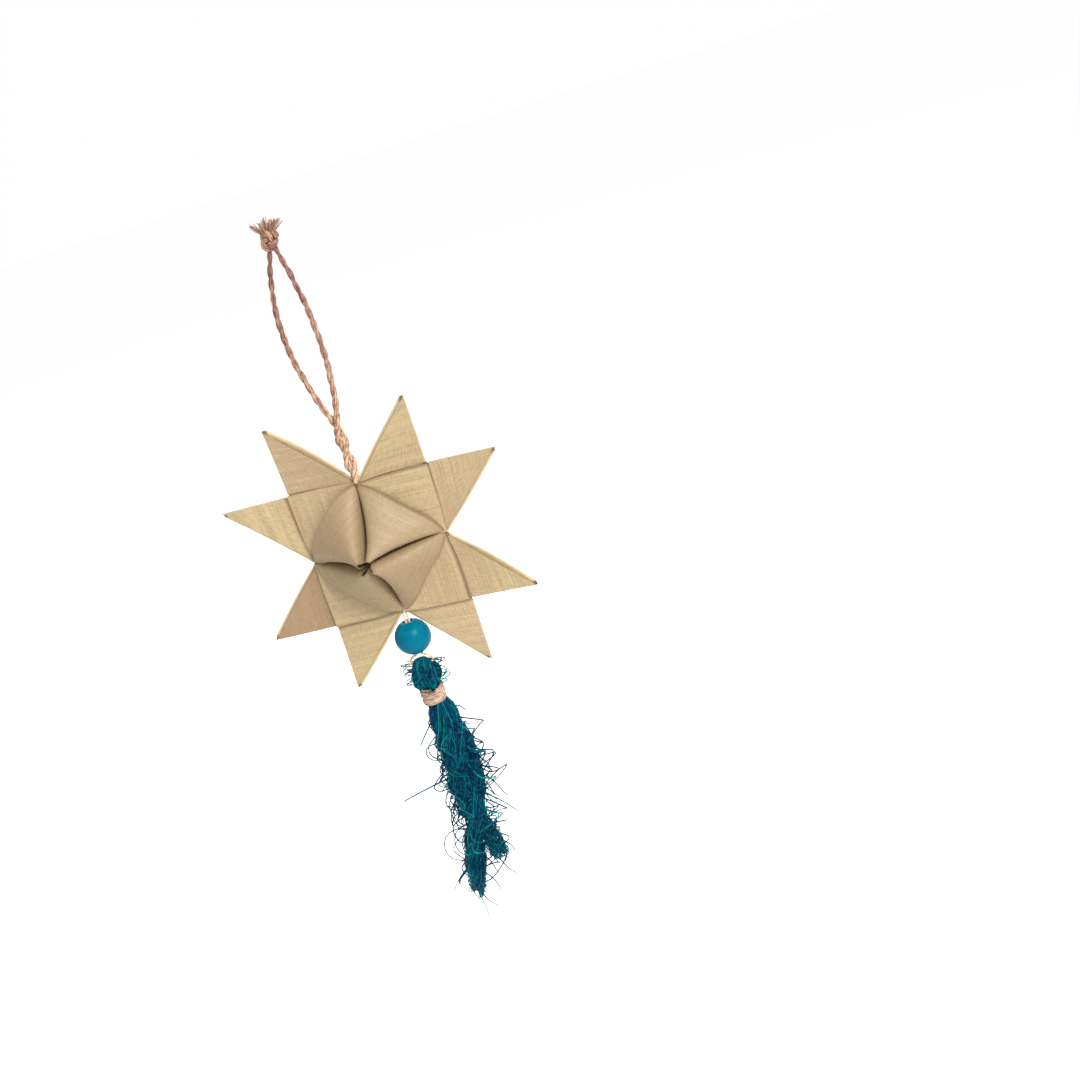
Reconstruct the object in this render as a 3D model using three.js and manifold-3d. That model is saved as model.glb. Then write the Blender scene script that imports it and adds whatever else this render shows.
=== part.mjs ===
// Star woven from four leaf strips, with a hanging loop, a bead and a tassel.
// Millimetres, +Z up. The ornament hangs by its loop: the origin is where a hook bears,
// just under the loop's knot, and the star's front faces -Y.

import * as THREE from "three";
import { mergeVertices } from "three/addons/utils/BufferGeometryUtils.js";
import loadManifold from "manifold-3d";

const wasm = await loadManifold();
wasm.setup();

// The weave: strips in a two-by-two plait, in layers counted from 0 at the back to 9 in front

const CELL = 19.6; // from the star's middle line to the outline of its square
const LEAF = 0.25; // thickness of a strip
const LAYER = 0.4; // pitch of the layers
const NEAR_EDGE = 1.2; // edge of a strip that lies towards the star's middle
const FAR_EDGE = CELL - 0.2; // edge of a strip along the outline of the square
const WIDTH = FAR_EDGE - NEAR_EDGE;
const TURN = CELL + 0.05; // where a strip turns back round the edge of the square
const CROSS_START = 0.05; // a strip changes layer between here
const CROSS_END = 1.05; // and here, measured from the middle line
const TAIL_END = FAR_EDGE - 1; // where a strip's trimmed end stops under the front layer

// The flat points, folded from the strips outside the square

const POINT_BASE = CELL + 0.5;
const POINT_TIP = POINT_BASE + WIDTH;
const BLUNT = 0.6; // the inner layers stop this far short of the tip
const FOLD_BULGE = 0.35; // how far a fold swells out, as a share of its height

// The curled points, which stand over each quarter of the square

const SLOT_OUT = -0.2; // plane of the wall that comes up out of the weave
const SLOT_IN = 0.7; // plane of the wall that goes back down into it
const TIP_HEIGHT = 15; // from the star's middle plane
const SKIRT_HEIGHT = 2.3; // of the curl's outer edge where it meets the middle lines
const SKIRT_LIFT = 3; // rise of that edge over the quarter's diagonal
const SKIRT_REACH = 15.8; // from the star's middle to that edge, along the diagonal
const ARCH = 0.6; // below 1, the edge rises steeply at its two ends
const WALL_STEPS = 3;
const CURL_STEPS = 12;

// The hanging cord

const CORD = 1.4; // diameter of the twine
const CORD_SIDES = 8;
const CORD_STEPS = 52;
const LOOP_DROP = 60; // from the hook down to the outline of the star's square
const TWIST_LENGTH = 17; // the two strands wind round each other above the star
const TWIST_TURNS = 1.25;
const TWIST_RADIUS = 0.85;
const TWIST_POINTS = 10;
const CORD_GAP = 0.4; // between the cord's end and the edge of the leaf
const KNOT_HEIGHT = 3; // centre of the knot above the hook
const KNOT_RADIUS = 1.4;
const KNOT_STRAND = 0.62;
const FRAY_TUFTS = 5;
const FRAY_LENGTH = 6;
const FRAY_SPREAD = 1.7;

// The bead, its string, the tassel and its binding

const BEAD = 10; // diameter
const BEAD_BORE = 2.6;
const BEAD_DROP = 27; // from the star's centre to the bead's centre
const STRING = 0.76; // diameter of one strand
const STRING_APART = 0.46; // each strand's centre from the middle of the bore
const HEAD_TOP = 6.4; // below the bead's centre
const EYE_DROP = 1.7; // the string passes through the head this far below its top
const EYE = 1.9; // diameter
const HEAD_HEIGHT = 8.4;
const HEAD_RADIUS = 3.9;
const NECK_RADIUS = 2.5;
const NECK_HEIGHT = 6;
const BINDING_TURNS = 6;
const BINDING_TWINE = 0.85;
const BINDING_GAP = 0.25;
const LOCKS = 8;
const LONG_LOCKS = 5; // locks in the long end of the tassel, the rest are in the short one
const LONG_END = 65; // length of the ends below the neck
const SHORT_END = 54;
const LOCK_TWIST = 2.4; // radians from the neck to the ends

const STAR_CENTRE = -(LOOP_DROP + CELL);
const BEAD_CENTRE = STAR_CENTRE - BEAD_DROP;
const HEAD_START = BEAD_CENTRE - HEAD_TOP;
const NECK_START = HEAD_START - HEAD_HEIGHT;
const NECK_END = NECK_START - NECK_HEIGHT;

const { lerp } = THREE.MathUtils;

// Solids

// A closed solid through rings of equal count, each wound to the right about the way along.
function loft(rings) {
  const count = rings[0].length;
  const last = (rings.length - 1) * count;
  const faces = [];
  for (let start = 0; start < last; start += count) {
    for (let j = 0; j < count; j++) {
      const a = start + j;
      const b = start + ((j + 1) % count);
      faces.push(a, b, a + count, b, b + count, a + count);
    }
  }
  for (let j = 1; j < count - 1; j++) {
    faces.push(0, j + 1, j);
    faces.push(last, last + j, last + j + 1);
  }
  const geometry = new THREE.BufferGeometry().setFromPoints(rings.flat());
  geometry.setIndex(faces);
  return geometry;
}

// A tube along a smooth curve through the points, with its radius a function of the share along.
function taperedTube(points, radiusAt, steps, sides) {
  const curve = new THREE.CatmullRomCurve3(points);
  const { normals, binormals } = curve.computeFrenetFrames(steps);
  const rings = [];
  for (let i = 0; i <= steps; i++) {
    const centre = curve.getPointAt(i / steps);
    const radius = radiusAt(i / steps);
    const ring = [];
    for (let j = 0; j < sides; j++) {
      const angle = (2 * Math.PI * j) / sides;
      const corner = centre.clone();
      corner.addScaledVector(normals[i], radius * Math.cos(angle));
      corner.addScaledVector(binormals[i], radius * Math.sin(angle));
      ring.push(corner);
    }
    rings.push(ring);
  }
  return loft(rings);
}

function cord(points, diameter, sides, steps) {
  const section = new THREE.Shape();
  for (let j = 0; j < sides; j++) {
    const angle = (2 * Math.PI * j) / sides;
    const x = (diameter / 2) * Math.cos(angle);
    const y = (diameter / 2) * Math.sin(angle);
    if (j === 0) section.moveTo(x, y);
    else section.lineTo(x, y);
  }
  const extrudePath = new THREE.CatmullRomCurve3(points);
  return new THREE.ExtrudeGeometry(section, { steps, extrudePath, bevelEnabled: false });
}

function solidOf(geometry) {
  const bare = geometry.clone();
  bare.deleteAttribute("normal");
  bare.deleteAttribute("uv");
  const whole = mergeVertices(bare, 1e-4);
  const vertProperties = new Float32Array(whole.attributes.position.array);
  const triVerts = new Uint32Array(whole.index.array);
  return new wasm.Manifold(new wasm.Mesh({ numProp: 3, vertProperties, triVerts }));
}

function geometryOf(solid) {
  const { vertProperties, triVerts, numProp } = solid.getMesh();
  const geometry = new THREE.BufferGeometry();
  const points = new THREE.InterleavedBuffer(vertProperties, numProp);
  geometry.setAttribute("position", new THREE.InterleavedBufferAttribute(points, 3, 0));
  geometry.setIndex(new THREE.BufferAttribute(triVerts, 1));
  return geometry;
}

function joined(geometries) {
  return geometries.map(solidOf).reduce((whole, piece) => whole.add(piece));
}

// Leaf strips, in the star's own frame: x right, y up, z towards the front

function layer(number) {
  return (number - 4.5) * LAYER;
}

// A rung lies straight across a strip, from its near edge to its far edge.
function rung(near, far) {
  return { near: new THREE.Vector3(...near), far: new THREE.Vector3(...far) };
}

function acrossRow(x, z) {
  return rung([x, NEAR_EDGE, z], [x, FAR_EDGE, z]);
}

function acrossColumn(y, z) {
  return rung([NEAR_EDGE, y, z], [FAR_EDGE, y, z]);
}

// A fold along a line, from one layer to another, swelling out a little between them.
function fold(line, from, to) {
  const swell = Math.abs(to - from) * FOLD_BULGE;
  const out = line.out.map((share) => share * swell);
  const moved = ([x, y]) => [x + out[0], y + out[1], (from + to) / 2];
  return [
    rung([...line.near, from], [...line.far, from]),
    rung(moved(line.near), moved(line.far)),
    rung([...line.near, to], [...line.far, to]),
  ];
}

function flatPoint() {
  const slant = {
    near: [-POINT_BASE, NEAR_EDGE],
    far: [-POINT_TIP + BLUNT, FAR_EDGE - BLUNT],
    out: [-Math.SQRT1_2, -Math.SQRT1_2],
  };
  const ridge = { near: [-POINT_BASE, FAR_EDGE], far: [-POINT_TIP, FAR_EDGE], out: [0, 1] };
  return [
    ...fold(slant, layer(6), layer(5)),
    ...fold(ridge, layer(5), layer(8)),
    ...fold(slant, layer(8), layer(7)),
  ];
}

// A place over the quarter, at a radius and an angle from the wall that comes up.
function overQuarter(radius, angle, z) {
  const x = radius * Math.sin(angle) + SLOT_OUT * Math.cos(angle) ** 2;
  const y = radius * Math.cos(angle) + SLOT_IN * Math.sin(angle) ** 2;
  return [x, y, z];
}

function curledPoint() {
  const rungs = [acrossRow(SLOT_OUT, layer(7))];
  for (let i = 1; i <= WALL_STEPS; i++) {
    const share = i / WALL_STEPS;
    const near = [SLOT_OUT, NEAR_EDGE, lerp(layer(7), TIP_HEIGHT, share)];
    const far = [SLOT_OUT, FAR_EDGE, lerp(layer(7), SKIRT_HEIGHT, share)];
    rungs.push(rung(near, far));
  }
  for (let i = 1; i < CURL_STEPS; i++) {
    const angle = ((Math.PI / 2) * i) / CURL_STEPS;
    const over = Math.sin(2 * angle);
    const reach = lerp(FAR_EDGE, SKIRT_REACH, over);
    const near = overQuarter(NEAR_EDGE, angle, TIP_HEIGHT);
    const far = overQuarter(reach, angle, SKIRT_HEIGHT + SKIRT_LIFT * over ** ARCH);
    rungs.push(rung(near, far));
  }
  for (let i = 0; i < WALL_STEPS; i++) {
    const share = i / WALL_STEPS;
    const near = [NEAR_EDGE, SLOT_IN, lerp(TIP_HEIGHT, layer(8), share)];
    const far = [FAR_EDGE, SLOT_IN, lerp(SKIRT_HEIGHT, layer(8), share)];
    rungs.push(rung(near, far));
  }
  rungs.push(acrossColumn(SLOT_IN, layer(8)), acrossColumn(TAIL_END, layer(8)));
  return rungs;
}

// Half a strip, from the middle of the weave to its trimmed end behind the front layer.
function frontHalf() {
  return [
    acrossRow(CROSS_END, layer(4)),
    acrossRow(TURN, layer(4)),
    acrossRow(TURN, layer(9)),
    acrossRow(CROSS_END, layer(9)),
    acrossRow(CROSS_START, layer(6)),
    ...flatPoint(),
    ...curledPoint(),
  ];
}

// The other half is the same, turned half a turn about the star's upright axis.
function turnedOver({ near, far }) {
  return rung([-near.x, near.y, -near.z], [-far.x, far.y, -far.z]);
}

function panelNormal(from, to) {
  const along = to.near.clone().add(to.far).sub(from.near).sub(from.far);
  const across = to.far.clone().sub(to.near).add(from.far).sub(from.near);
  return along.cross(across).normalize();
}

// The solid strip: every rung is thickened along the mitre of the two panels that it joins.
function leafStrip() {
  const front = frontHalf();
  const rungs = [...front.map(turnedOver).reverse(), ...front];
  const normals = rungs.slice(1).map((next, i) => panelNormal(rungs[i], next));
  const rings = rungs.map(({ near, far }, i) => {
    const before = normals[Math.max(i - 1, 0)];
    const after = normals[Math.min(i, normals.length - 1)];
    const mitre = before.clone().add(after);
    mitre.multiplyScalar(LEAF / 2 / (1 + before.dot(after)));
    return [
      near.clone().sub(mitre),
      far.clone().sub(mitre),
      far.clone().add(mitre),
      near.clone().add(mitre),
    ];
  });
  return loft(rings);
}

// Hanging cord: up from the star, round the loop and back down

// The strands above their twist, chosen by hand: across, towards the back, and up from the hook.
const RIGHT_STRAND = [
  [2.2, 0.1, -37],
  [3.3, 0.2, -27],
  [3.2, 0.2, -16],
  [2.1, 0.1, -7],
  [0.8, 0, 0.6],
  [0.4, 0, KNOT_HEIGHT],
];
const LEFT_STRAND = [
  [-2.7, -0.1, -37],
  [-4.7, -0.3, -27],
  [-5, -0.3, -16],
  [-3.4, -0.1, -7],
  [-0.9, 0, 0.6],
  [-0.5, 0, KNOT_HEIGHT],
];

function strand(side, upper) {
  const points = [];
  const start = -LOOP_DROP + CORD_GAP;
  for (let i = 0; i <= TWIST_POINTS; i++) {
    const share = i / TWIST_POINTS;
    const angle = 2 * Math.PI * TWIST_TURNS * share;
    const x = side * TWIST_RADIUS * Math.sin(angle);
    const y = -side * TWIST_RADIUS * Math.cos(angle);
    points.push(new THREE.Vector3(x, y, start + TWIST_LENGTH * share));
  }
  points.push(...upper.map((place) => new THREE.Vector3(...place)));
  return cord(points, CORD, CORD_SIDES, CORD_STEPS / 2);
}

// A tuft of the frayed ends above the knot, leaning out to its own side.
function frayTuft(number) {
  const angle = (2 * Math.PI * number) / FRAY_TUFTS;
  const length = FRAY_LENGTH * (1 - 0.12 * (number % 2));
  const points = [0, 0.5, 1].map((share) => {
    const out = lerp(0.3, FRAY_SPREAD, share ** 1.5);
    const up = KNOT_HEIGHT + KNOT_RADIUS + length * share;
    return new THREE.Vector3(out * Math.cos(angle), out * Math.sin(angle), up);
  });
  return taperedTube(points, (share) => lerp(0.75, 0.3, share), 4, 6);
}

function hangingCord() {
  const knot = new THREE.TorusKnotGeometry(KNOT_RADIUS, KNOT_STRAND, 40, 7, 2, 3);
  knot.rotateX(Math.PI / 2);
  knot.translate(0, 0, KNOT_HEIGHT);
  const tufts = Array.from({ length: FRAY_TUFTS }, (_, number) => frayTuft(number));
  const strands = [strand(1, RIGHT_STRAND), strand(-1, LEFT_STRAND)];
  return geometryOf(joined([...strands, knot, ...tufts]));
}

// Bead, string, tassel and binding

function bead() {
  const rim = Math.acos(BEAD_BORE / BEAD);
  const ball = new THREE.Path().absarc(0, 0, BEAD / 2, -rim, rim);
  const profile = ball.getPoints(12);
  profile.push(profile[0].clone());
  return new THREE.LatheGeometry(profile, 28);
}

function beadString() {
  const top = STAR_CENTRE - CELL - CORD_GAP;
  const eye = HEAD_START - EYE_DROP;
  const leg = [
    [STRING_APART, top],
    [STRING_APART, BEAD_CENTRE],
    [STRING_APART, BEAD_CENTRE - BEAD / 2],
    [2.3, HEAD_START + 0.2],
    [3.5, eye + 0.7],
    [2.9, eye],
  ];
  const right = leg.map(([x, z]) => new THREE.Vector3(x, 0, z));
  const left = leg.map(([x, z]) => new THREE.Vector3(-x, 0, z)).reverse();
  return cord([...right, new THREE.Vector3(0, 0, eye), ...left], STRING, 6, 44);
}

function tasselHead() {
  const points = [HEAD_START, NECK_START, NECK_END - 2].map((z) => new THREE.Vector3(0, 0, z));
  const length = HEAD_START - NECK_END + 2;
  const radiusAt = (share) => {
    const down = share * length;
    const inHead = Math.min(down / HEAD_HEIGHT, 1);
    const dome = HEAD_RADIUS * Math.sin(Math.PI * inHead ** 0.8) ** 0.6;
    return Math.max(dome, down < HEAD_HEIGHT / 2 ? 0.8 : NECK_RADIUS);
  };
  const eye = new THREE.CylinderGeometry(EYE / 2, EYE / 2, 4 * HEAD_RADIUS, 12);
  eye.rotateZ(Math.PI / 2);
  eye.translate(0, 0, HEAD_START - EYE_DROP);
  return solidOf(taperedTube(points, radiusAt, 20, 12)).subtract(solidOf(eye));
}

// One twisted lock of fibre, from inside the neck down to its ragged end.
function lock(number) {
  const long = number < LONG_LOCKS;
  const fall = (long ? LONG_END : SHORT_END) * (1 - 0.05 * (number % 3));
  const lean = long ? -5.5 : 5;
  const points = [];
  for (let i = 0; i <= 6; i++) {
    const share = i / 6;
    const angle = (2 * Math.PI * number) / LOCKS + LOCK_TWIST * share;
    const spread = lerp(1.1, 3.1, Math.sin(Math.PI * Math.min(share * 1.1, 1) ** 0.7));
    const sway = lean * share ** 2 + 1.4 * Math.sin(2 * Math.PI * share);
    const x = sway + spread * Math.cos(angle);
    points.push(new THREE.Vector3(x, spread * Math.sin(angle), NECK_END + 1 - fall * share));
  }
  const radiusAt = (share) => lerp(1.3, 0.7, share) + 0.7 * Math.sin(Math.PI * share);
  return taperedTube(points, radiusAt, 13, 6);
}

function tassel() {
  const locks = Array.from({ length: LOCKS }, (_, number) => lock(number));
  return geometryOf(tasselHead().add(joined(locks)));
}

function binding() {
  const inner = NECK_RADIUS + BINDING_GAP;
  const profile = [new THREE.Vector2(inner, 0)];
  for (let turn = 0; turn < BINDING_TURNS; turn++) {
    for (const share of [0, 0.3, 0.7]) {
      const height = (turn + share) * BINDING_TWINE;
      const round = Math.sin(Math.PI * share) ** 0.5;
      profile.push(new THREE.Vector2(inner + BINDING_TWINE * lerp(0.55, 1, round), height));
    }
  }
  const top = BINDING_TURNS * BINDING_TWINE;
  profile.push(new THREE.Vector2(inner + BINDING_TWINE * 0.55, top));
  profile.push(new THREE.Vector2(inner, top), profile[0].clone());
  return new THREE.LatheGeometry(profile, 18);
}

// The ornament

function material(color, roughness) {
  return new THREE.MeshStandardMaterial({ color, roughness, metalness: 0 });
}

function piece(name, geometry, color, roughness) {
  const mesh = new THREE.Mesh(geometry, material(color, roughness));
  mesh.name = name;
  return mesh;
}

const LEAF_COLOUR = 0xd9c79a;
const JUTE_COLOUR = 0xb98f5c;
const BEAD_COLOUR = 0x0f7d9c;
const STRING_COLOUR = 0xd6c6a5;
const TASSEL_COLOUR = 0x0a5f62;

const ornament = new THREE.Group();

const star = new THREE.Group();
star.position.z = STAR_CENTRE;
star.rotation.x = Math.PI / 2;
ornament.add(star);

const stripShape = leafStrip();
for (let number = 0; number < 4; number++) {
  const strip = piece(`leaf_strip_${number + 1}`, stripShape, LEAF_COLOUR, 0.6);
  strip.rotation.z = (-Math.PI / 2) * number;
  star.add(strip);
}

ornament.add(piece("hanging_cord", hangingCord(), JUTE_COLOUR, 0.9));

const beadPiece = piece("bead", bead(), BEAD_COLOUR, 0.25);
beadPiece.rotation.x = Math.PI / 2;
beadPiece.position.z = BEAD_CENTRE;
ornament.add(beadPiece);

ornament.add(piece("bead_string", beadString(), STRING_COLOUR, 0.9));
ornament.add(piece("tassel", tassel(), TASSEL_COLOUR, 0.9));

const bindingPiece = piece("tassel_binding", binding(), JUTE_COLOUR, 0.9);
bindingPiece.rotation.x = Math.PI / 2;
bindingPiece.position.z = NECK_END + (NECK_HEIGHT - BINDING_TURNS * BINDING_TWINE) / 2;
ornament.add(bindingPiece);

export default ornament;
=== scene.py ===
import math

import bpy
import numpy as np
from bpy.props import FloatProperty, FloatVectorProperty, IntProperty, PointerProperty
from mathutils import Matrix, Vector


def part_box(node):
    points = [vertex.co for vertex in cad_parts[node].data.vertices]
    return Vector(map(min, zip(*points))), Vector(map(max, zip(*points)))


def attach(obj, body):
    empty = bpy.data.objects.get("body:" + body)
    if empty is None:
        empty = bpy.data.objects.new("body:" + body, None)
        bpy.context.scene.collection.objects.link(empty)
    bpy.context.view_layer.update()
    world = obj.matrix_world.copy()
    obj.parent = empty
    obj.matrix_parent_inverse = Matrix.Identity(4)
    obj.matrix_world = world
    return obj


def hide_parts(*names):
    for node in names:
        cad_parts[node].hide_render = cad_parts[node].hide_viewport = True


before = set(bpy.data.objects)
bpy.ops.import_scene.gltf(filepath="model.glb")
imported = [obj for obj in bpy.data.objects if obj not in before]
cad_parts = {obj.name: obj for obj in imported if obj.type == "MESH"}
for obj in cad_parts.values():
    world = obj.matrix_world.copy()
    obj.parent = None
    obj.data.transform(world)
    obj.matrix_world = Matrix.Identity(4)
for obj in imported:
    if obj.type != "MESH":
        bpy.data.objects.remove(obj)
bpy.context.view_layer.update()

bl_info = {
    "name": "Woven Star Ornament",
    "version": (1, 0, 0),
    "blender": (4, 5, 0),
    "location": "3D View > Sidebar > Woven Star",
    "description": "Leaf strips, twine, bead and tassel of a hanging woven star",
    "category": "Add Mesh",
}

MM = 0.001
BODY = "root"


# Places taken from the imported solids

def node_box(node):
    low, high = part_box(node)
    return np.array(low), np.array(high)


STAR_CENTRE = (node_box("leaf_strip_1")[1][2] + node_box("leaf_strip_3")[0][2]) / 2
BEAD_LOW, BEAD_HIGH = node_box("bead")
BEAD_CENTRE = (BEAD_LOW[2] + BEAD_HIGH[2]) / 2
BINDING_LOW, BINDING_HIGH = node_box("tassel_binding")
TASSEL_HIGH = node_box("tassel")[1]
STRING_LOW, STRING_HIGH = node_box("bead_string")
CORD_LOW = node_box("hanging_cord")[0]


# Settings

def length(name, description, default):
    return FloatProperty(
        name=name, description=description, default=default, unit="LENGTH", precision=5
    )


def angle(name, description, degrees):
    return FloatProperty(
        name=name, description=description, default=math.radians(degrees), subtype="ANGLE"
    )


def how_many(name, description, default):
    return IntProperty(name=name, description=description, default=default, min=1)


def colour(name, description, default):
    return FloatVectorProperty(
        name=name, description=description, default=default, size=3, min=0, max=1, subtype="COLOR"
    )


class LeafSettings(bpy.types.PropertyGroup):
    cell: length("Weave cell", "From the star's middle line to the outline of its square", 19.6 * MM)
    near_edge: length("Near edge", "From the middle line to the nearer edge of a strip", 0.3 * MM)
    edge_gap: length("Edge gap", "From the far edge of a strip to the outline of the square", 0.2 * MM)
    thickness: length("Thickness", "Thickness of a strip", 0.15 * MM)
    layer: length("Layer pitch", "Distance between strips that lie on each other", 0.18 * MM)
    curl_gap: length("Curl gap", "From the star's middle to the tips of the curled points", 2.0 * MM)
    curl_height: length("Curl height", "Tips of the curled points above the middle plane", 15.2 * MM)
    mouth: length("Mouth", "How far each folded lip of a flat point stands open", 0.85 * MM)
    straw: colour("Straw", "Colour of the leaf's outer face", (0.42, 0.335, 0.178))
    tan: colour("Tan", "Colour of the leaf's inner face", (0.38, 0.29, 0.162))
    blush: colour("Blush", "Colour of the leaf's warmer patches", (0.37, 0.265, 0.153))
    brown: colour("Brown", "Colour of the brownest leaf", (0.205, 0.121, 0.065))
    # The curled points are darkened towards the curled colour as painted shade
    curled: colour("Curled", "Colour of the leaf along its curled points", (0.232, 0.174, 0.09))
    # The crease colour is painted shade along folds and cut edges, and also the colour of the leaf's
    # dark specks and fine lines
    crease: colour("Crease", "Colour along folds and cut edges", (0.16, 0.092, 0.04))


class TwineSettings(bpy.types.PropertyGroup):
    diameter: length("Diameter", "Diameter of the hanging twine", 1.4 * MM)
    pitch: length("Ply pitch", "Length of one turn of the two plies", 6.8 * MM)
    hairs: how_many("Hairs", "Loose hairs on each strand", 26)
    shade: colour("Shade", "Darkest fibres", (0.1, 0.036, 0.03))
    middle: colour("Middle", "Most fibres", (0.235, 0.122, 0.093))
    light: colour("Light", "Brightest fibres", (0.56, 0.375, 0.22))
    string_shade: colour("String shade", "Darkest fibres of the bead string", (0.4, 0.3, 0.19))
    string_light: colour("String light", "Brightest fibres of the bead string", (0.78, 0.68, 0.5))
    binding_shade: colour("Binding shade", "Darkest fibres of the binding", (0.15, 0.085, 0.06))
    binding_light: colour("Binding light", "Brightest fibres of the binding", (0.68, 0.49, 0.355))


class BeadSettings(bpy.types.PropertyGroup):
    diameter: length("Diameter", "Diameter of the bead", float(BEAD_HIGH[0] - BEAD_LOW[0]))
    bore: length("Bore", "Diameter of the hole through the bead", 2.6 * MM)
    paint: colour("Paint", "Colour of the paint", (0.0, 0.087, 0.155))
    thin_paint: colour("Thin paint", "Colour where the paint is thinner", (0.0, 0.125, 0.175))


class TasselSettings(bpy.types.PropertyGroup):
    locks: how_many("Locks", "Twisted locks below the binding", 26)
    fibres: how_many("Fibres", "Fibres in each lock", 62)
    head_fibres: how_many("Head fibres", "Fibres folded over the string", 620)
    head_loops: how_many("Head loops", "Fibres that stand round the head in small loops", 44)
    loops: how_many("Loops", "Fibres that loop out of the tassel", 120)
    loose_ends: how_many("Loose ends", "Fibres that stand out of the tassel", 120)
    fibre: length("Fibre", "Diameter of one fibre", 0.18 * MM)
    long_end: length("Long end", "From the binding to the long end", 65 * MM)
    short_end: length("Short end", "From the binding to the short end", 55 * MM)
    shade: colour("Shade", "Darkest fibres", (0.0, 0.012, 0.045))
    middle: colour("Middle", "Most fibres", (0.0, 0.074, 0.11))
    light: colour("Light", "Brightest fibres", (0.0, 0.235, 0.235))


class StageSettings(bpy.types.PropertyGroup):
    azimuth: angle("Azimuth", "Camera's turn about the star's upright axis", 13.3)
    elevation: angle("Elevation", "Camera's height above the star's middle", 19.7)
    roll: angle("Roll", "Camera's turn about its own line of sight", -17.3)
    distance: length("Distance", "From the camera's plane to the star's centre", 317 * MM)
    across: length("Across", "Star's centre to the left of the picture's middle", 42.1 * MM)
    below: length("Below", "Star's centre below the picture's middle", 1.9 * MM)
    lens: FloatProperty(
        name="Lens", description="Focal length on a 36 mm sensor", default=40, unit="CAMERA"
    )
    floor: length("Floor", "Floor's depth below the hook", 0.42)
    floor_reach: length("Floor reach", "Radius of the floor", 60.0)
    pale: colour("Pale", "Colour of the floor", (0.985, 0.985, 0.985))
    ambient: FloatProperty(
        name="Ambient", description="Strength of the even light from all round", default=1.0
    )


# Meshes

FINE_STEPS = 24


def mesh_piece(name, points, faces, material):
    mesh = bpy.data.meshes.new(name)
    mesh.from_pydata(np.asarray(points).tolist(), [], faces)
    mesh.polygons.foreach_set("use_smooth", [True] * len(mesh.polygons))
    mesh.materials.append(material)
    piece = bpy.data.objects.new(name, mesh)
    bpy.context.scene.collection.objects.link(piece)
    return piece


def point_values(piece, name, values):
    layer = piece.data.attributes.new(name, "FLOAT", "POINT")
    layer.data.foreach_set("value", np.asarray(values, dtype=np.float32))


def flat_coordinates(piece, name, coordinates):
    layer = piece.data.uv_layers.new(name=name)
    corners = np.empty(len(piece.data.loops), dtype=np.int32)
    piece.data.loops.foreach_get("vertex_index", corners)
    layer.data.foreach_set("uv", np.asarray(coordinates, dtype=np.float32)[corners].ravel())


def dress(piece, slot, *nodes):
    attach(piece, BODY)
    if nodes:
        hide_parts(*nodes)
    return piece


def unit(vectors):
    return vectors / np.maximum(np.linalg.norm(vectors, axis=-1, keepdims=True), 1e-12)


def travel(path):
    """Distance along a path at each of its points."""
    steps = np.linalg.norm(np.diff(path, axis=0), axis=1)
    return np.concatenate([[0], np.cumsum(steps)])


def smooth_path(points, spacing):
    """Evenly spaced places along a smooth curve through the points."""
    points = np.asarray(points, float)
    first, last = 2 * points[0] - points[1], 2 * points[-1] - points[-2]
    held = np.vstack([first, points, last])
    t = np.linspace(0, 1, FINE_STEPS, endpoint=False)[:, None]
    fine = []
    for a, b, c, d in zip(held, held[1:], held[2:], held[3:]):
        bend = (2 * a - 5 * b + 4 * c - d) * t**2 + (3 * b - a - 3 * c + d) * t**3
        fine.append(0.5 * (2 * b + (c - a) * t + bend))
    fine = np.vstack([*fine, points[-1:]])
    travelled = travel(fine)
    at = np.linspace(0, travelled[-1], max(3, round(travelled[-1] / spacing) + 1))
    return np.stack([np.interp(at, travelled, fine[:, k]) for k in range(3)], axis=1)


def side_frames(paths):
    """Two steady directions across each path, for paths given as count x steps x 3."""
    along = unit(np.gradient(paths, axis=1))
    side = np.zeros_like(paths)
    side[:, 0] = unit(np.cross(along[:, 0], [0.31, 0.57, 0.76]))
    for i in range(1, paths.shape[1]):
        carried = side[:, i - 1]
        carried = carried - (carried * along[:, i]).sum(axis=1, keepdims=True) * along[:, i]
        side[:, i] = unit(carried)
    return side, np.cross(along, side)


def tubes(paths, radii, sides):
    """Closed tubes along many paths: their points and their faces."""
    paths = np.asarray(paths, float)
    count, steps = paths.shape[:2]
    radii = np.broadcast_to(radii, (count, steps))
    side, other = side_frames(paths)
    turn = 2 * np.pi * np.arange(sides) / sides
    round_it = (
        np.cos(turn)[:, None] * side[:, :, None, :] + np.sin(turn)[:, None] * other[:, :, None, :]
    )
    points = paths[:, :, None, :] + radii[:, :, None, None] * round_it
    corner = np.arange(count * steps * sides).reshape(count, steps, sides)
    ahead = np.roll(corner, -1, axis=2)
    walls = np.stack([corner[:, :-1], ahead[:, :-1], ahead[:, 1:], corner[:, 1:]], axis=-1)
    faces = walls.reshape(-1, 4).tolist()
    faces += corner[:, 0, ::-1].tolist()
    faces += corner[:, -1].tolist()
    return points.reshape(-1, 3), faces


class Bundle:
    """Tubes gathered into one mesh, each with a tone, or tones along it, from 0, dark, to 1, bright."""

    def __init__(self):
        self.points, self.faces, self.tones, self.count = [], [], [], 0

    def add(self, paths, radii, sides, tones):
        points, faces = tubes(paths, radii, sides)
        start = self.count
        self.points.append(points)
        self.faces += [[corner + start for corner in face] for face in faces]
        if np.ndim(tones) == 1:
            tones = tones[:, None]
        self.tones.append(np.repeat(np.broadcast_to(tones, paths.shape[:2]).ravel(), sides))
        self.count += len(points)

    def piece(self, name, material):
        made = mesh_piece(name, np.vstack(self.points), self.faces, material)
        point_values(made, "tone", np.concatenate(self.tones))
        return made


# Materials

VEIN_HEIGHT = 0.07 * MM
BRUSH_HEIGHT = 0.05 * MM
DULL = 0.05


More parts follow.
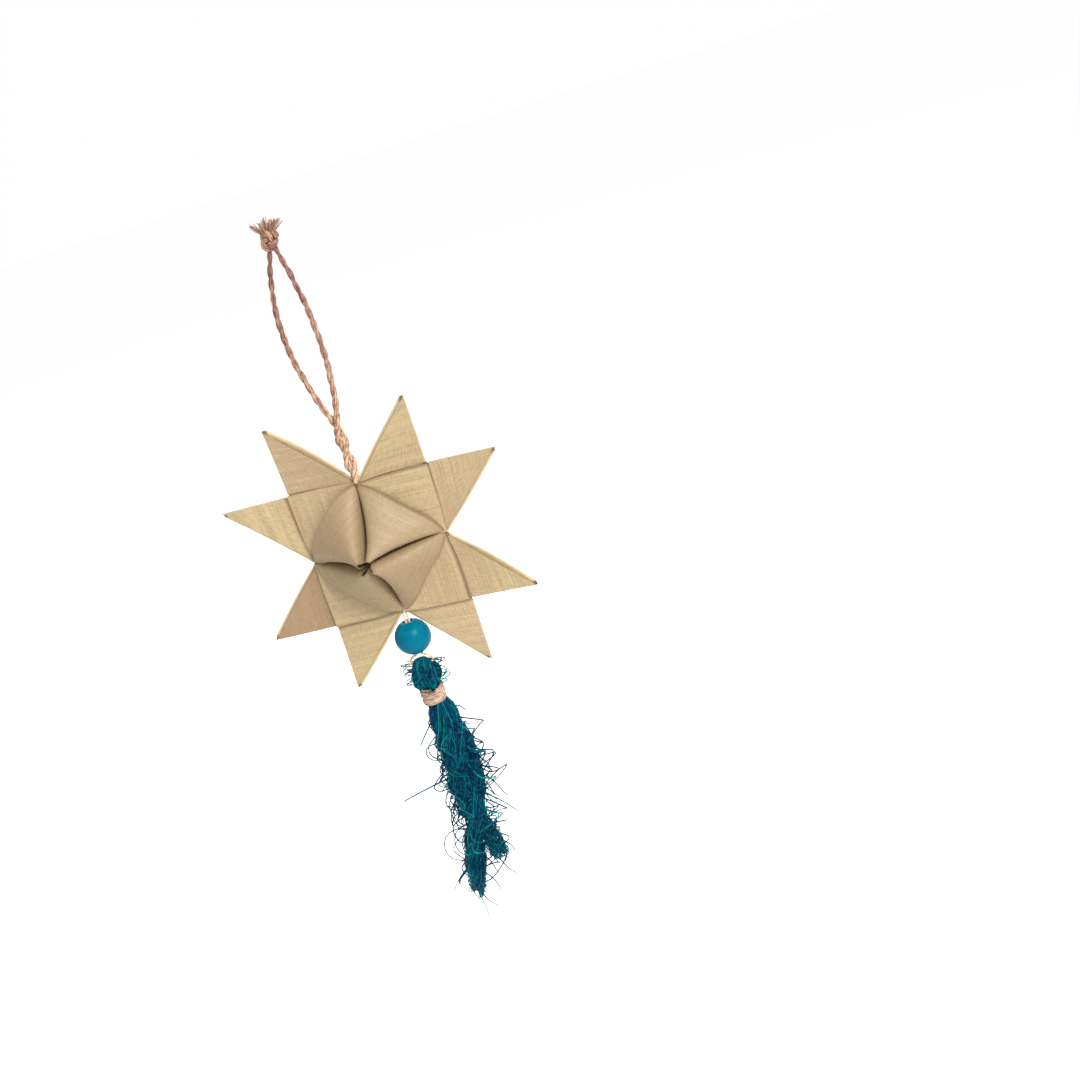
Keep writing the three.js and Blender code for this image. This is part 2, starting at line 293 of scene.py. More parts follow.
class Finish:
    """A material's nodes, with short calls to add and join them."""

    def __init__(self, name):
        self.material = bpy.data.materials.new(name)
        self.material.use_nodes = True
        self.tree = self.material.node_tree
        self.shader = self.tree.nodes["Principled BSDF"]

    def node(self, kind, **settings):
        made = self.tree.nodes.new(kind)
        for name, value in settings.items():
            setattr(made, name, value)
        return made

    def join(self, source, target):
        self.tree.links.new(source, target)

    def fill(self, socket, value):
        if isinstance(value, bpy.types.NodeSocket):
            self.join(value, socket)
        elif isinstance(value, (int, float)):
            socket.default_value = value
        else:
            socket.default_value = (*value, 1)[: len(socket.default_value)]

    def fed(self, kind, **sockets):
        made = self.node(kind)
        for name, value in sockets.items():
            self.fill(made.inputs[name.replace("_", " ")], value)
        return made.outputs

    def uv(self, name):
        return self.node("ShaderNodeUVMap", uv_map=name).outputs["UV"]

    def place(self):
        return self.node("ShaderNodeTexCoord").outputs["Object"]

    def value(self, name):
        return self.node("ShaderNodeAttribute", attribute_name=name).outputs["Fac"]

    def share_of(self, name, share):
        return self.sum(self.value(name), share, "MULTIPLY")

    def stretched(self, vector, scale):
        return self.fed("ShaderNodeMapping", Vector=vector, Scale=scale)["Vector"]

    def noise(self, vector, scale, detail):
        return self.fed("ShaderNodeTexNoise", Vector=vector, Scale=scale, Detail=detail)["Fac"]

    def span(self, value, low, high, to_low=0.0, to_high=1.0):
        ends = {"From_Min": low, "From_Max": high, "To_Min": to_low, "To_Max": to_high}
        return self.fed("ShaderNodeMapRange", Value=value, **ends)["Result"]

    def sum(self, a, b, operation="ADD"):
        made = self.node("ShaderNodeMath", operation=operation)
        self.fill(made.inputs[0], a)
        self.fill(made.inputs[1], b)
        return made.outputs["Value"]

    def mix(self, share, a, b):
        made = self.node("ShaderNodeMix", data_type="RGBA")
        self.fill(made.inputs[0], share)
        self.fill(made.inputs[6], a)
        self.fill(made.inputs[7], b)
        return made.outputs[2]

    def ramp(self, value, *stops):
        made = self.node("ShaderNodeValToRGB")
        self.join(value, made.inputs["Fac"])
        points = made.color_ramp.elements
        while len(points) < len(stops):
            points.new(0.5)
        for point, (at, tint) in zip(points, stops):
            point.position = at
            point.color = (*tint, 1)
        return made.outputs["Color"]

    def bump(self, height, distance, strength=1.0):
        sockets = {"Distance": distance, "Strength": strength, "Height": height}
        return self.fed("ShaderNodeBump", **sockets)["Normal"]

    def surface(self, specular, **sockets):
        self.shader.inputs["Specular IOR Level"].default_value = specular
        for name, value in sockets.items():
            self.fill(self.shader.inputs[name.replace("_", " ").title()], value)
        return self.material


# A tint times a share: a darker or lighter colour of the same hue, for the leaf's grain, the bead's
# brush marks and the rims' painted highlight
def scaled(tint, share):
    return tuple(part * share for part in tint)


def leaf_finish(name, leaf, tint):
    """Dry leaf: fine veins along the strip, ribs across them and slow streaks, with painted shade along
    folds, cut edges and curled points, and a painted highlight along the flat points' showing lip
    creases.
    """
    finish = Finish(name)
    strip = finish.uv("strip")

    def grain(across, along, detail):
        return finish.noise(finish.stretched(strip, (across, along, 1)), 1, detail)

    fine = grain(70, 1.1, 1.5)
    streaks = grain(15, 0.45, 3)
    lines = grain(38, 0.5, 1)
    cloud = grain(1.6, 0.9, 3)
    patches = grain(0.9, 0.35, 1)
    ribs = grain(9, 62, 1.5)
    specks = grain(30, 18, 2)
    # Painted shade along folds and cut edges: the fold values, broken up by the streaks, pull the leaf
    # towards the crease colour
    painted_fold_shade = finish.sum(finish.value("fold"), finish.span(streaks, 0.3, 0.7, 0.5, 1), "MULTIPLY")
    dark = scaled(leaf.brown, 0.8)
    layers = (
        (finish.span(cloud, 0.42, 0.68, 0, 0.5), leaf.blush),
        (finish.span(patches, 0.5, 0.7, 0, 0.45), scaled(leaf.blush, 0.9)),
        (finish.span(specks, 0.74, 0.8, 0, 0.5), leaf.crease),
        # Painted shade on the curled points
        (finish.share_of("curl", 0.75), leaf.curled),
        (finish.share_of("brown", 0.85), leaf.brown),
        (finish.span(fine, 0.35, 0.62, 0.3, 0), dark),
        (finish.span(ribs, 0.4, 0.68, 0, 0.3), dark),
        (finish.span(lines, 0.68, 0.76, 0, 0.5), leaf.crease),
        # Painted highlight: a lighter copy of the straw colour along the crease of the lip that shows
        # past the other lip
        (finish.share_of("rim", 0.8), scaled(leaf.straw, 1.35)),
        (painted_fold_shade, leaf.crease),
    )
    base = finish.ramp(streaks, (0.3, scaled(tint, 0.86)), (0.6, tint), (0.8, scaled(tint, 1.1)))
    for share, layer_tint in layers:
        base = finish.mix(share, base, layer_tint)
    height = finish.sum(fine, finish.sum(streaks, 1.4, "MULTIPLY"))
    height = finish.sum(height, finish.sum(ribs, -0.8, "MULTIPLY"))
    return finish.surface(
        specular=0.3,
        base_color=base,
        roughness=finish.span(streaks, 0.3, 0.7, 0.6, 0.45),
        normal=finish.bump(height, VEIN_HEIGHT),
    )


def fibre_finish(name, shade, middle, light, rough):
    """Plant fibre: the tone of each strand, mottled along its length."""
    finish = Finish(name)
    mottle = finish.noise(finish.place(), 900, 2)
    tone = finish.sum(finish.value("tone"), finish.span(mottle, 0.3, 0.7, -0.16, 0.16))
    base = finish.ramp(tone, (0.08, shade), (0.5, middle), (0.95, light))
    return finish.surface(specular=DULL, base_color=base, roughness=rough)


def plain_fibre_finish(name, shade, light, rough):
    """Plant fibre whose middle tone lies half way between its darkest and its brightest."""
    middle = tuple((dark + bright) / 2 for dark, bright in zip(shade, light))
    return fibre_finish(name, shade, middle, light, rough)


def bead_finish(bead):
    """Brushed paint, thinner in places."""
    finish = Finish("bead_paint")
    place = finish.place()
    brush = finish.noise(finish.stretched(place, (260, 260, 900)), 1, 3)
    cloud = finish.noise(place, 170, 2)
    base = finish.mix(finish.span(cloud, 0.4, 0.7), bead.paint, bead.thin_paint)
    base = finish.mix(finish.span(brush, 0.3, 0.6, 0.3, 0), base, scaled(bead.paint, 0.7))
    return finish.surface(
        specular=DULL,
        base_color=base,
        roughness=finish.span(brush, 0.3, 0.7, 0.2, 0.34),
        normal=finish.bump(brush, BRUSH_HEIGHT, 0.5),
    )


# Leaf strips, in the star's own frame: x right, y up, z towards the front

POINT_GAP = 0.3 * MM
TURN_GAP = 0.05 * MM
CROSSING = (0.02 * MM, 0.25 * MM)
POINT_LENGTH = 18.8 * MM
BLUNT = 0.9 * MM
LIP_INSET = 0.55 * MM
SLOT_OUT = -0.2 * MM
SLOT_IN = 0.7 * MM
TAIL_SHORT = 1 * MM
RIDGE_SHORT = 0.8 * BLUNT
FOLD_BULGE = 0.3
FOLD_ROUNDING = 4
# Painted shade along folds and along the strip's cut edges: its width, and its strength at folds and at
# cut edges
FOLD_WIDTH = 0.15 * MM
PAINTED_FOLD_SHADE = 0.55
PAINTED_EDGE_SHADE = 0.5
CURL_STEPS = 72
CURL_ROUND = 3.2
CURL_BLEND = 3
STRIP_COLUMNS = 18
STRIP_SCALE = 20 * MM
STRIP_SHIFT = 7.3
MIDDLE_LAYER = 4.5

# Kinds of fold: a plain crease, and the crease of a flat point's lip that shows past the other lip
CREASE = 1
RIM = 2
# Width of the painted highlight along the crease of the lip that shows
RIM_WIDTH = 0.7 * MM

# For each strip's front and back: its curl edge's reach and height, how open its flat point is,
# and how brown its leaf is
HALVES = (
    ((14.5, 2.1, 0.5, 0.08), (15.2, 3.6, 1.0, 0.0)),
    ((13.9, 2.0, 0.6, 0.22), (14.6, 2.8, 0.5, 0.0)),
    ((15.1, 4.0, 1.0, 0.08), (15.6, 3.9, 0.6, 0.75)),
    ((16.2, 4.5, 0.6, 0.18), (14.8, 3.1, 1.2, 0.05)),
)


class Rungs:
    """Lines straight across a strip, from its near edge to its far edge, one after another."""

    def __init__(self, leaf, front, reach, rise, open_share):
        self.leaf, self.front = leaf, front
        self.reach, self.rise = reach * MM, rise * MM
        self.mouth = leaf.mouth * open_share
        self.low, self.high = leaf.near_edge, leaf.cell - leaf.edge_gap
        self.near, self.far, self.lip_and_curl, self.folds = [], [], [], {}

    def add(self, near, far, lip=0, fold=0, curl=0):
        if fold:
            self.folds[len(self.near)] = fold
        self.near.append(near)
        self.far.append(far)
        self.lip_and_curl.append((lip, curl))

    def level(self, number):
        """Height of a layer, counted from the back of the star to its front."""
        return (number - MIDDLE_LAYER) * self.leaf.layer

    def row(self, x, z, lip=0, fold=0):
        self.add((x, self.low, z), (x, self.high, z), lip, fold)

    def column(self, y, z, fold=0):
        self.add((self.low, y, z), (self.high, y, z), 0, fold)

    def fold(self, near, far, out, levels, lips, kind=CREASE):
        start, end = (self.level(number) for number in levels)
        swell = abs(end - start) * FOLD_BULGE
        self.add((*near, start), (*far, start), lips[0])
        moved = [(x + out[0] * swell, y + out[1] * swell, (start + end) / 2) for x, y in (near, far)]
        self.add(*moved, sum(lips) / 2, kind)
        self.add((*near, end), (*far, end), lips[1])

    def flat_point(self):
        base = self.leaf.cell + POINT_GAP
        tip = base + POINT_LENGTH
        slant = (-base, self.low), (-tip + BLUNT, self.high - BLUNT)
        ridge = (-base, self.high), (-tip + RIDGE_SHORT, self.high)
        inset = [(x + LIP_INSET, y + LIP_INSET) for x, y in slant]
        outward = (-math.sqrt(0.5), -math.sqrt(0.5))
        first, second = (slant, inset) if self.front else (inset, slant)
        kinds = (RIM, CREASE) if self.front else (CREASE, RIM)
        self.fold(*first, outward, (6, 5), (-1, -1), kinds[0])
        self.fold(*ridge, (0, 1), (5, 8), (-1, 1))
        self.fold(*second, outward, (8, 7), (1, 1), kinds[1])

    def over_quarter(self, radius, turn, z):
        x = radius * math.sin(turn) + SLOT_OUT * math.cos(turn) ** 2
        y = radius * math.cos(turn) + SLOT_IN * math.sin(turn) ** 2
        return x, y, z

    def curled_point(self):
        """An arch from one slot, over a quarter of the star, down into the next slot."""
        low, high, tip, gap = self.low, self.high, self.leaf.curl_height, self.leaf.curl_gap
        out, back = self.level(7), self.level(8)
        self.row(SLOT_OUT, out, 1, CREASE)
        for i in range(1, CURL_STEPS):
            step = math.pi * i / CURL_STEPS
            aside = abs(math.cos(step)) ** (2 / CURL_ROUND)
            lift = math.sin(step) ** (2 / CURL_ROUND)
            turn = math.pi / 4 * (1 - math.copysign(aside, math.cos(step)))
            over = math.sin(2 * turn)
            foot = out + (back - out) * i / CURL_STEPS
            edge = foot + (self.rise - foot) * over**0.5
            inside = low + (gap - low) * over
            outside = high + (self.reach - high) * over
            near = self.over_quarter(inside, turn, foot + (tip - foot) * lift)
            far = self.over_quarter(outside, turn, foot + (edge - foot) * lift)
            self.add(near, far, curl=min(1, CURL_BLEND * math.sin(step)))
        self.column(SLOT_IN, back, CREASE)
        self.column(high - TAIL_SHORT, back)

    def front_half(self):
        turn = self.leaf.cell + TURN_GAP
        self.row(CROSSING[1], self.level(4))
        self.row(turn, self.level(4), 0, CREASE)
        self.row(turn, self.level(9), 0, CREASE)
        self.row(CROSSING[1], self.level(9))
        self.row(CROSSING[0], self.level(6), -1)
        self.flat_point()
        self.curled_point()


CUTS = np.array([0.12, 0.3, 0.6]) * MM
CUT_PITCH = 0.9 * MM


def panel_cuts(span):
    """Shares along a panel at which it is cut, closer together by its two ends."""
    if span < 3 * CUTS[-1]:
        return np.array([0.0])
    inner = np.arange(CUTS[-1] + CUT_PITCH, span - CUTS[-1] - CUT_PITCH / 2, CUT_PITCH)
    return np.concatenate([[0], CUTS, inner, span - CUTS[::-1]]) / span


def half_strip(leaf, front, half):
    """Rows of points across half a strip, with each row's share of curl and its kind of fold."""
    rungs = Rungs(leaf, front, *half)
    rungs.front_half()
    edges = np.stack([rungs.near, rungs.far], axis=1)
    traits = np.array(rungs.lip_and_curl)
    rows, row_traits, marks = [], [], []
    for i in range(len(edges) - 1):
        span = np.linalg.norm(edges[i + 1] - edges[i], axis=1).max()
        for share in panel_cuts(span):
            rows.append(edges[i] + (edges[i + 1] - edges[i]) * share)
            row_traits.append(traits[i] + (traits[i + 1] - traits[i]) * share)
            marks.append(rungs.folds.get(i, 0) if share == 0 else 0)
    rows.append(edges[-1])
    row_traits.append(traits[-1])
    marks.append(0)
    rows, (lips, curls) = np.array(rows), np.transpose(row_traits)
    t = np.linspace(0, 1, STRIP_COLUMNS + 1)[:, None]
    grid = rows[:, None, 0] + (rows[:, None, 1] - rows[:, None, 0]) * t
    open_mouths(grid, lips, rungs)
    return grid, curls, np.array(marks)


def open_mouths(grid, lips, rungs):
    """Parts the folded lips along the point's long edge, most half way, where out * (1 - up) is 1/4."""
    out = np.clip((-grid[..., 0] - rungs.leaf.cell - POINT_GAP) / POINT_LENGTH, 0, 1)
    up = np.clip((grid[..., 1] - rungs.low) / (rungs.high - rungs.low), 0, 1)
    grid[..., 2] += 4 * rungs.mouth * lips[:, None] * out * (1 - up)


def relax(grid, rounds):
    """Rounds the folds: every inner point moves half way to the line between its neighbours."""
    for _ in range(rounds):
        before = np.linalg.norm(grid[1:-1] - grid[:-2], axis=2, keepdims=True) + 1e-9
        after = np.linalg.norm(grid[2:] - grid[1:-1], axis=2, keepdims=True) + 1e-9
        line = (grid[:-2] * after + grid[2:] * before) / (before + after)
        grid[1:-1] += 0.5 * (line - grid[1:-1])


def ease(value, low, high):
    share = np.clip((value - low) / (high - low), 0, 1)
    return share * share * (3 - 2 * share)


SIDE_DRAWN_IN = 0.028
SIDE_WIDTH = 5 * MM
SIDE_REACH = (11 * MM, 19 * MM)
POINT_START = 20 * MM
POINT_SPAN = 18 * MM
POINT_BEND = 0.8
BEND_CHANGE = 0.5
WAVE_HEIGHT = 0.22 * MM
WAVE_PITCH = (5.4 * MM, 6.6 * MM)
TALL_START = 3 * MM
TALL_SPAN = 12 * MM


def near_to(distance, width):
    return np.exp(-((distance / width) ** 2))


def hand_made(points):
    """The small bends of a hand-folded star: sides drawn in, points bent, slow waves."""
    x, y, z = (points[..., k].copy() for k in range(3))
    beside = near_to(x, SIDE_WIDTH) * ease(np.abs(y), *SIDE_REACH)
    above = near_to(y, SIDE_WIDTH) * ease(np.abs(x), *SIDE_REACH)
    points[..., 1] *= 1 - SIDE_DRAWN_IN * beside
    points[..., 0] *= 1 - SIDE_DRAWN_IN * above
    outside = np.clip((np.maximum(np.abs(x), np.abs(y)) - POINT_START) / POINT_SPAN, 0, None)
    bend = POINT_BEND + BEND_CHANGE * np.sin(3 * np.arctan2(y, x) + 0.6)
    points[..., 2] += bend * MM * outside**1.5
    points[..., 2] += WAVE_HEIGHT * np.sin(x / WAVE_PITCH[0] + 1) * np.cos(y / WAVE_PITCH[1] + 2)
    tall = np.clip((np.abs(z) - TALL_START) / TALL_SPAN, 0, None) ** 2
    points[..., 0] += np.where(z > 0, -0.25, 0.3) * MM * tall
    points[..., 1] += np.where(z > 0, 0.3, -0.2) * MM * tall


def grid_normals(grid):
    along, across = np.gradient(grid, axis=0), np.gradient(grid, axis=1)
    return unit(np.cross(along, across))


def woven_grid(leaf, number):
    """Middle surface of a strip, in its place, with each row's curl, kind of fold and brown."""
    (*front_shape, front_brown), (*rear_shape, rear_brown) = HALVES[number]
    front, front_curls, front_marks = half_strip(leaf, True, front_shape)
    rear, rear_curls, rear_marks = half_strip(leaf, False, rear_shape)
    grid = np.concatenate([rear[::-1] * (-1, 1, -1), front])
    curls = np.concatenate([rear_curls[::-1], front_curls])
    marks = np.concatenate([rear_marks[::-1], front_marks])
    brown = np.repeat([rear_brown, front_brown], [len(rear), len(front)])
    relax(grid, FOLD_ROUNDING)
    turn = -math.pi / 2 * number
    along, across = math.cos(turn), math.sin(turn)
    grid = grid @ np.array([[along, -across, 0], [across, along, 0], [0, 0, 1]]).T
    hand_made(grid)
    return grid, curls, marks, brown


def leaf_strip(leaf, number, materials):
    """One strip with its two faces, and the values that its finish reads along its folds and curls:
    painted shade along folds, cut edges and curls, a painted highlight along the showing lips' creases,
    and the leaf's brown.
    """
    grid, curls, marks, brown = woven_grid(leaf, number)
    rows, columns = grid.shape[:2]
    normals = grid_normals(grid) * leaf.thickness / 2
    points = np.concatenate([(grid + normals).reshape(-1, 3), (grid - normals).reshape(-1, 3)])
    world = np.stack([points[:, 0], -points[:, 2], points[:, 1] + STAR_CENTRE], axis=1)
    faces, sides = strip_faces(rows, columns)
    piece = mesh_piece(f"woven_leaf_{number + 1}", world, faces, materials[0])
    piece.data.materials.append(materials[1])
    piece.data.polygons.foreach_set("material_index", sides)
    travelled = travel(grid[:, STRIP_COLUMNS // 2])
    to_fold = np.abs(travelled[:, None] - travelled[marks > 0]).min(axis=1)
    # Distance along the strip to the showing lip's crease, where a painted highlight lies
    to_rim_highlight = np.abs(travelled[:, None] - travelled[marks == RIM]).min(axis=1)
    t = np.linspace(0, 1, columns)
    to_edge = np.minimum(t, 1 - t) * (leaf.cell - leaf.edge_gap - leaf.near_edge)
    # Painted shade along the folds and along the cut edges of the strip
    fold = PAINTED_FOLD_SHADE * near_to(to_fold[:, None], FOLD_WIDTH) * np.ones_like(t)
    fold = np.maximum(fold, PAINTED_EDGE_SHADE * near_to(to_edge, FOLD_WIDTH))
    point_values(piece, "fold", np.tile(fold.ravel(), 2))
    # Values the finish reads: rim for a painted highlight, curl for painted shade on the curled points,
    # brown for the leaf's own browner halves
    for name, along in (("rim", near_to(to_rim_highlight, RIM_WIDTH)), ("curl", curls), ("brown", brown)):
        point_values(piece, name, np.tile(np.repeat(along, columns), 2))
    lateral = np.broadcast_to(t, (rows, columns))
    onward = np.broadcast_to(travelled[:, None] / STRIP_SCALE + STRIP_SHIFT * number, (rows, columns))
    flat = np.stack([lateral, onward], axis=-1).reshape(-1, 2)
    flat_coordinates(piece, "strip", np.tile(flat, (2, 1)))
    return piece


def strip_faces(rows, columns):
    """Faces of a strip with two sides and a rim, and 1 for each face of its inner side."""
    top = np.arange(rows * columns).reshape(rows, columns)
    under = top + rows * columns
    quads = np.stack([top[:-1, :-1], top[1:, :-1], top[1:, 1:], top[:-1, 1:]], axis=-1).reshape(-1, 4)
    faces = quads.tolist() + (quads[:, ::-1] + rows * columns).tolist()
    sides = [1] * len(quads) + [0] * len(quads)
    outline = np.concatenate([top[:, 0], top[-1, 1:], top[-2::-1, -1], top[0, -2:0:-1]])
    below = under.ravel()[outline]
    rim = np.stack([outline, below, np.roll(below, -1), np.roll(outline, -1)], axis=-1)
    return faces + rim[:, ::-1].tolist(), sides + [0] * len(rim)


# Twine

TWIST_LENGTH = 17 * MM
TWIST_TURNS = 1.25
TWIST_RADIUS = 0.85 * MM
TWIST_POINTS = 10
TUCK = 0.9 * MM
STRAND_STEP = 0.4 * MM
KNOT_HEIGHT = 3 * MM
KNOT_RADIUS = 1.3 * MM
KNOT_TWINE = 1.45 * MM
KNOT_SPLIT = 0.42 * MM
KNOT_STEP = 0.35 * MM
KNOT_FIBRES = 30
STRAND_FIBRES = 34
HAIR_REACH = 2.6 * MM
HAIR_RADIUS = 0.045 * MM
TUFTS = 9
TUFT_FIBRES = 17
TUFT_FIBRE = 0.12 * MM
GOLDEN_TURN = 2.4
FIBRE_STEPS = 40

# The free part of each strand, from the twist up to the knot, in mm
RIGHT_STRAND = (
    (2.2, 0.1, -37),
    (3.3, 0.2, -27),
    (3.2, 0.2, -16),
    (2.1, 0.1, -7),
    (0.8, 0, 0.6),
    (0.4, 0, 3),
)
LEFT_STRAND = (
    (-2.7, -0.1, -37),
    (-4.7, -0.3, -27),
    (-5, -0.3, -16),
    (-3.4, -0.1, -7),
    (-0.9, 0, 0.6),
    (-0.5, 0, 3),
)

# How much darker a strand is at the knot than at the star, and how thick it is at the star and the knot
FADE = 0.55
STRAND_TAPER = (1.4, 0.9)

# Parts of a twine, as shares of its diameter
CORE_RADIUS = 0.3
PLY_OFFSET = 0.2
PLY_RADIUS = 0.29
FIBRE_SEAT = 0.285
FIBRE_RADIUS = 0.055


def strand_route(side, upper):
    """A strand of the loop: twisted round the other above the star, then free up to the knot."""
    points = []
    start = CORD_LOW[2]
    for i in range(TWIST_POINTS + 1):
        share = i / TWIST_POINTS
        turn = 2 * math.pi * TWIST_TURNS * share
        x, y = side * TWIST_RADIUS * math.sin(turn), -side * TWIST_RADIUS * math.cos(turn)
        points.append((x, y, start + TWIST_LENGTH * share))
    points[0] = (points[0][0], points[0][1], start - TUCK)
    points += [tuple(part * MM for part in place) for place in upper]
    return smooth_path(points, STRAND_STEP)


def path_frame(path):
    side, other = side_frames(path[None])
    return side[0], other[0]


def around(turn, side, other):
    return np.cos(turn)[:, None] * side + np.sin(turn)[:, None] * other


def ply_paths(path, offset, pitch, count, start):
    """Helices of the plies round a path."""
    side, other = path_frame(path)
    turn = start + 2 * np.pi * travel(path) / pitch
    plies = [path + offset * around(turn + 2 * np.pi * k / count, side, other) for k in range(count)]
    return np.stack(plies)


def surface_fibres(bundle, path, radius, count, reach, thickness, rng, fade=0.0):
    """Fibres that wind along the surface of a ply for a part of its length."""
    steps = len(path)
    side, other = path_frame(path)
    radius = np.broadcast_to(radius, (steps,))
    take = min(reach, steps - 1)
    away = 1 + 0.12 * np.sin(np.linspace(0, np.pi, take))
    ends = np.sin(np.linspace(0.25, np.pi - 0.25, take)) ** 0.4
    for _ in range(count):
        start = rng.integers(0, steps - take)
        at = slice(start, start + take)
        turn = rng.uniform(0, 2 * np.pi) - np.arange(take) * rng.uniform(0.02, 0.08)
        line = path[at] + (radius[at] * away)[:, None] * around(turn, side[at], other[at])
        tone = rng.uniform(0.15, 0.95) + fade * (0.5 - start / steps)
        bundle.add(line[None, ::2], (thickness * ends)[None, ::2], 4, tone)


def loose_hairs(bundle, path, count, reach, thickness, rng):
    """Short hairs that leave the twine and curl away."""
    share = np.linspace(0, 1, 7)[:, None]
    lines = []
    for _ in range(count):
        i = rng.integers(2, len(path) - 3)
        along = unit(path[i + 2] - path[i - 2]) * rng.choice([-1, 1])
        away = unit(np.cross(along, rng.normal(size=3)))
        curl = unit(np.cross(along, away)) * rng.uniform(-0.6, 0.6)
        size = reach * rng.uniform(0.4, 1)
        lines.append(path[i] + size * (along * share * 1.2 + away * share**1.6 * 0.7 + curl * share**2))
    bundle.add(np.array(lines), thickness * (1 - 0.7 * share.T), 3, rng.uniform(0.2, 0.9, count))


def twine_bundle(bundle, path, diameter, pitch, rng, fibres, ends=(1, 1), fade=0.0):
    """Two-ply twine along a path, whose thickness and tone may change from end to end."""
    change = np.linspace(*ends, len(path))
    # The core between the two plies takes a dark tone: painted shade in the grooves between them
    bundle.add(path[None], diameter * CORE_RADIUS * change[None], 8, 0.25)
    for ply in ply_paths(path, diameter * PLY_OFFSET, pitch, 2, rng.uniform(0, 6)):
        swell = change * (1 + 0.07 * np.sin(np.arange(len(ply)) * 0.23 + rng.uniform(0, 6)))
        tones = rng.uniform(0.4, 0.6) + np.linspace(fade / 2, -fade / 2, len(ply))
        bundle.add(ply[None], diameter * PLY_RADIUS * swell[None], 8, tones[None])
        seat, thick = diameter * FIBRE_SEAT * swell, FIBRE_RADIUS * diameter
        surface_fibres(bundle, ply, seat, fibres, FIBRE_STEPS, thick, rng, fade)


def knot_route():
    """An overhand knot's closed path, seen from the front as three lobes."""
    turn = np.linspace(0, 4 * np.pi, 160)
    lobe = np.cos(1.5 * turn)
    x = KNOT_RADIUS * (2 + lobe) / 2 * np.cos(turn)
    z = KNOT_RADIUS * (2 + lobe) / 2 * np.sin(turn)
    y = KNOT_RADIUS * np.sin(1.5 * turn) / 2
    return smooth_path(np.stack([x, y, z + KNOT_HEIGHT], axis=1)[::4], KNOT_STEP)


def frayed_ends(bundle, rng):
    """Short tufts of loose fibres that fan out above the knot."""
    share = np.linspace(0, 1, 8)[:, None]
    lines = []
    for number in range(TUFTS):
        bearing = GOLDEN_TURN * number
        lean = 0.25 + 0.75 * math.sqrt((number + 0.5) / TUFTS)
        out = np.array([math.cos(bearing), math.sin(bearing), 0])
        rise = rng.uniform(2.8, 4.0) * MM
        for _ in range(TUFT_FIBRES):
            near = rng.normal(size=3) * (0.16, 0.16, 0) * MM
            spread = rng.normal(size=3) * (0.4, 0.4, 0.35) * MM
            foot = np.array([0, 0, KNOT_HEIGHT + 0.7 * MM]) + out * 0.7 * MM * lean + near
            tip = np.array([0, 0, rise]) + out * 2.5 * MM * lean + spread
            bend = out * rng.uniform(-0.1, 0.9) * MM
            lines.append(foot + tip * share + bend * share**2)
    thick = TUFT_FIBRE * (1 - 0.4 * share.T)
    bundle.add(np.array(lines), thick, 4, rng.uniform(0.2, 0.8, len(lines)))


# Tassel

ROPE_TURNS = -0.8
ROPE_START = 0.8 * math.pi
ROPE_APART = 1.5 * MM
ROPE_SWAY = 0.9 * MM
LONG_LEAN = -6.2
SHORT_LEAN = 4.4
LOCK_TURNS = -1.2
LOCK_WAVE = 0.6 * MM
LOCK_STEPS = 34
LOCK_INSIDE = 2.5 * MM
FIBRE_POINTS = 15
LOOP_POINTS = 13
END_POINTS = 11

# Radius of the ring of locks down the tassel, and the spread of the fibres in a lock, in mm
SKIRT_SHARES = (0, 0.04, 0.1, 0.5, 0.85, 1)
SKIRT_RADII = (1.9, 2.0, 3.5, 2.6, 2.2, 2.2)
SPREAD_SHARES = (0, 0.06, 0.2, 1)
SPREADS = (0.5, 0.6, 0.95, 0.8)

# Radius of the solid middle of a lock, and of the head, in mm
CORE_SHARES = (0, 0.1, 0.85, 1)
CORE_RADII = (0.75, 0.95, 0.75, 0.25)
HEAD_SHARES = (0, 0.38, 0.5, 0.7, 0.85, 0.95, 1)
HEAD_RADII = (2.3, 2.3, 2.7, 3.1, 2.7, 1.7, 0.4)

# How far a fibre loops out and how long one that ends in the air is, at most, in mm
LOOP_REACH = 9
END_REACH = 8

# For each stray fibre: its share of the way down, its bearing in degrees, its lean and its length in mm
STRAYS = ((0.4, 190, 0.15, 21), (0.07, 215, 0.9, 9), (0.66, -20, -0.35, 12), (0.8, 150, 0.6, 10))


def rope_line(share, long):
    """Middle of one of the tassel's two ropes: wound round the other, then free of it."""
    turn = 2 * np.pi * ROPE_TURNS * share + (ROPE_START if long else ROPE_START + math.pi)
    apart = ROPE_APART * ease(share, 0.03, 0.18)
    lean = (LONG_LEAN if long else SHORT_LEAN) * MM * ease(share, 0.5, 1.1)
    sway = ROPE_SWAY * np.sin(2 * np.pi * share)
    return apart * np.cos(turn) + lean + sway, apart * np.sin(turn)


def lock_paths(tassel, rng):
    """A guide line for each lock, from inside the binding to its end."""
    share = np.linspace(0, 1, LOCK_STEPS)
    start = BINDING_LOW[2] + LOCK_INSIDE
    swell = np.interp(share, SKIRT_SHARES, SKIRT_RADII) * MM
    guides = []
    for number in range(tassel.locks):
        long = number % 5 < 3
        fall = (tassel.long_end if long else tassel.short_end) * rng.uniform(0.94, 1.0) + LOCK_INSIDE
        place = math.sqrt((number + 0.5) / tassel.locks)
        drift = 0.3 * np.sin(5 * share + rng.uniform(0, 6))
        bearing = number * GOLDEN_TURN + 2 * np.pi * LOCK_TURNS * share + drift
        wave = LOCK_WAVE * ease(share, 0.05, 0.3)
        wobble = [wave * np.sin(share * rng.uniform(18, 34) + rng.uniform(0, 6)) for _ in range(2)]
        x, y = rope_line(share * fall / tassel.long_end, long)
        x = x + place * swell * np.cos(bearing) + wobble[0]
        y = y + place * swell * np.sin(bearing) + wobble[1]
        guides.append(np.stack([x, y, start - fall * share], axis=1))
    return np.array(guides)


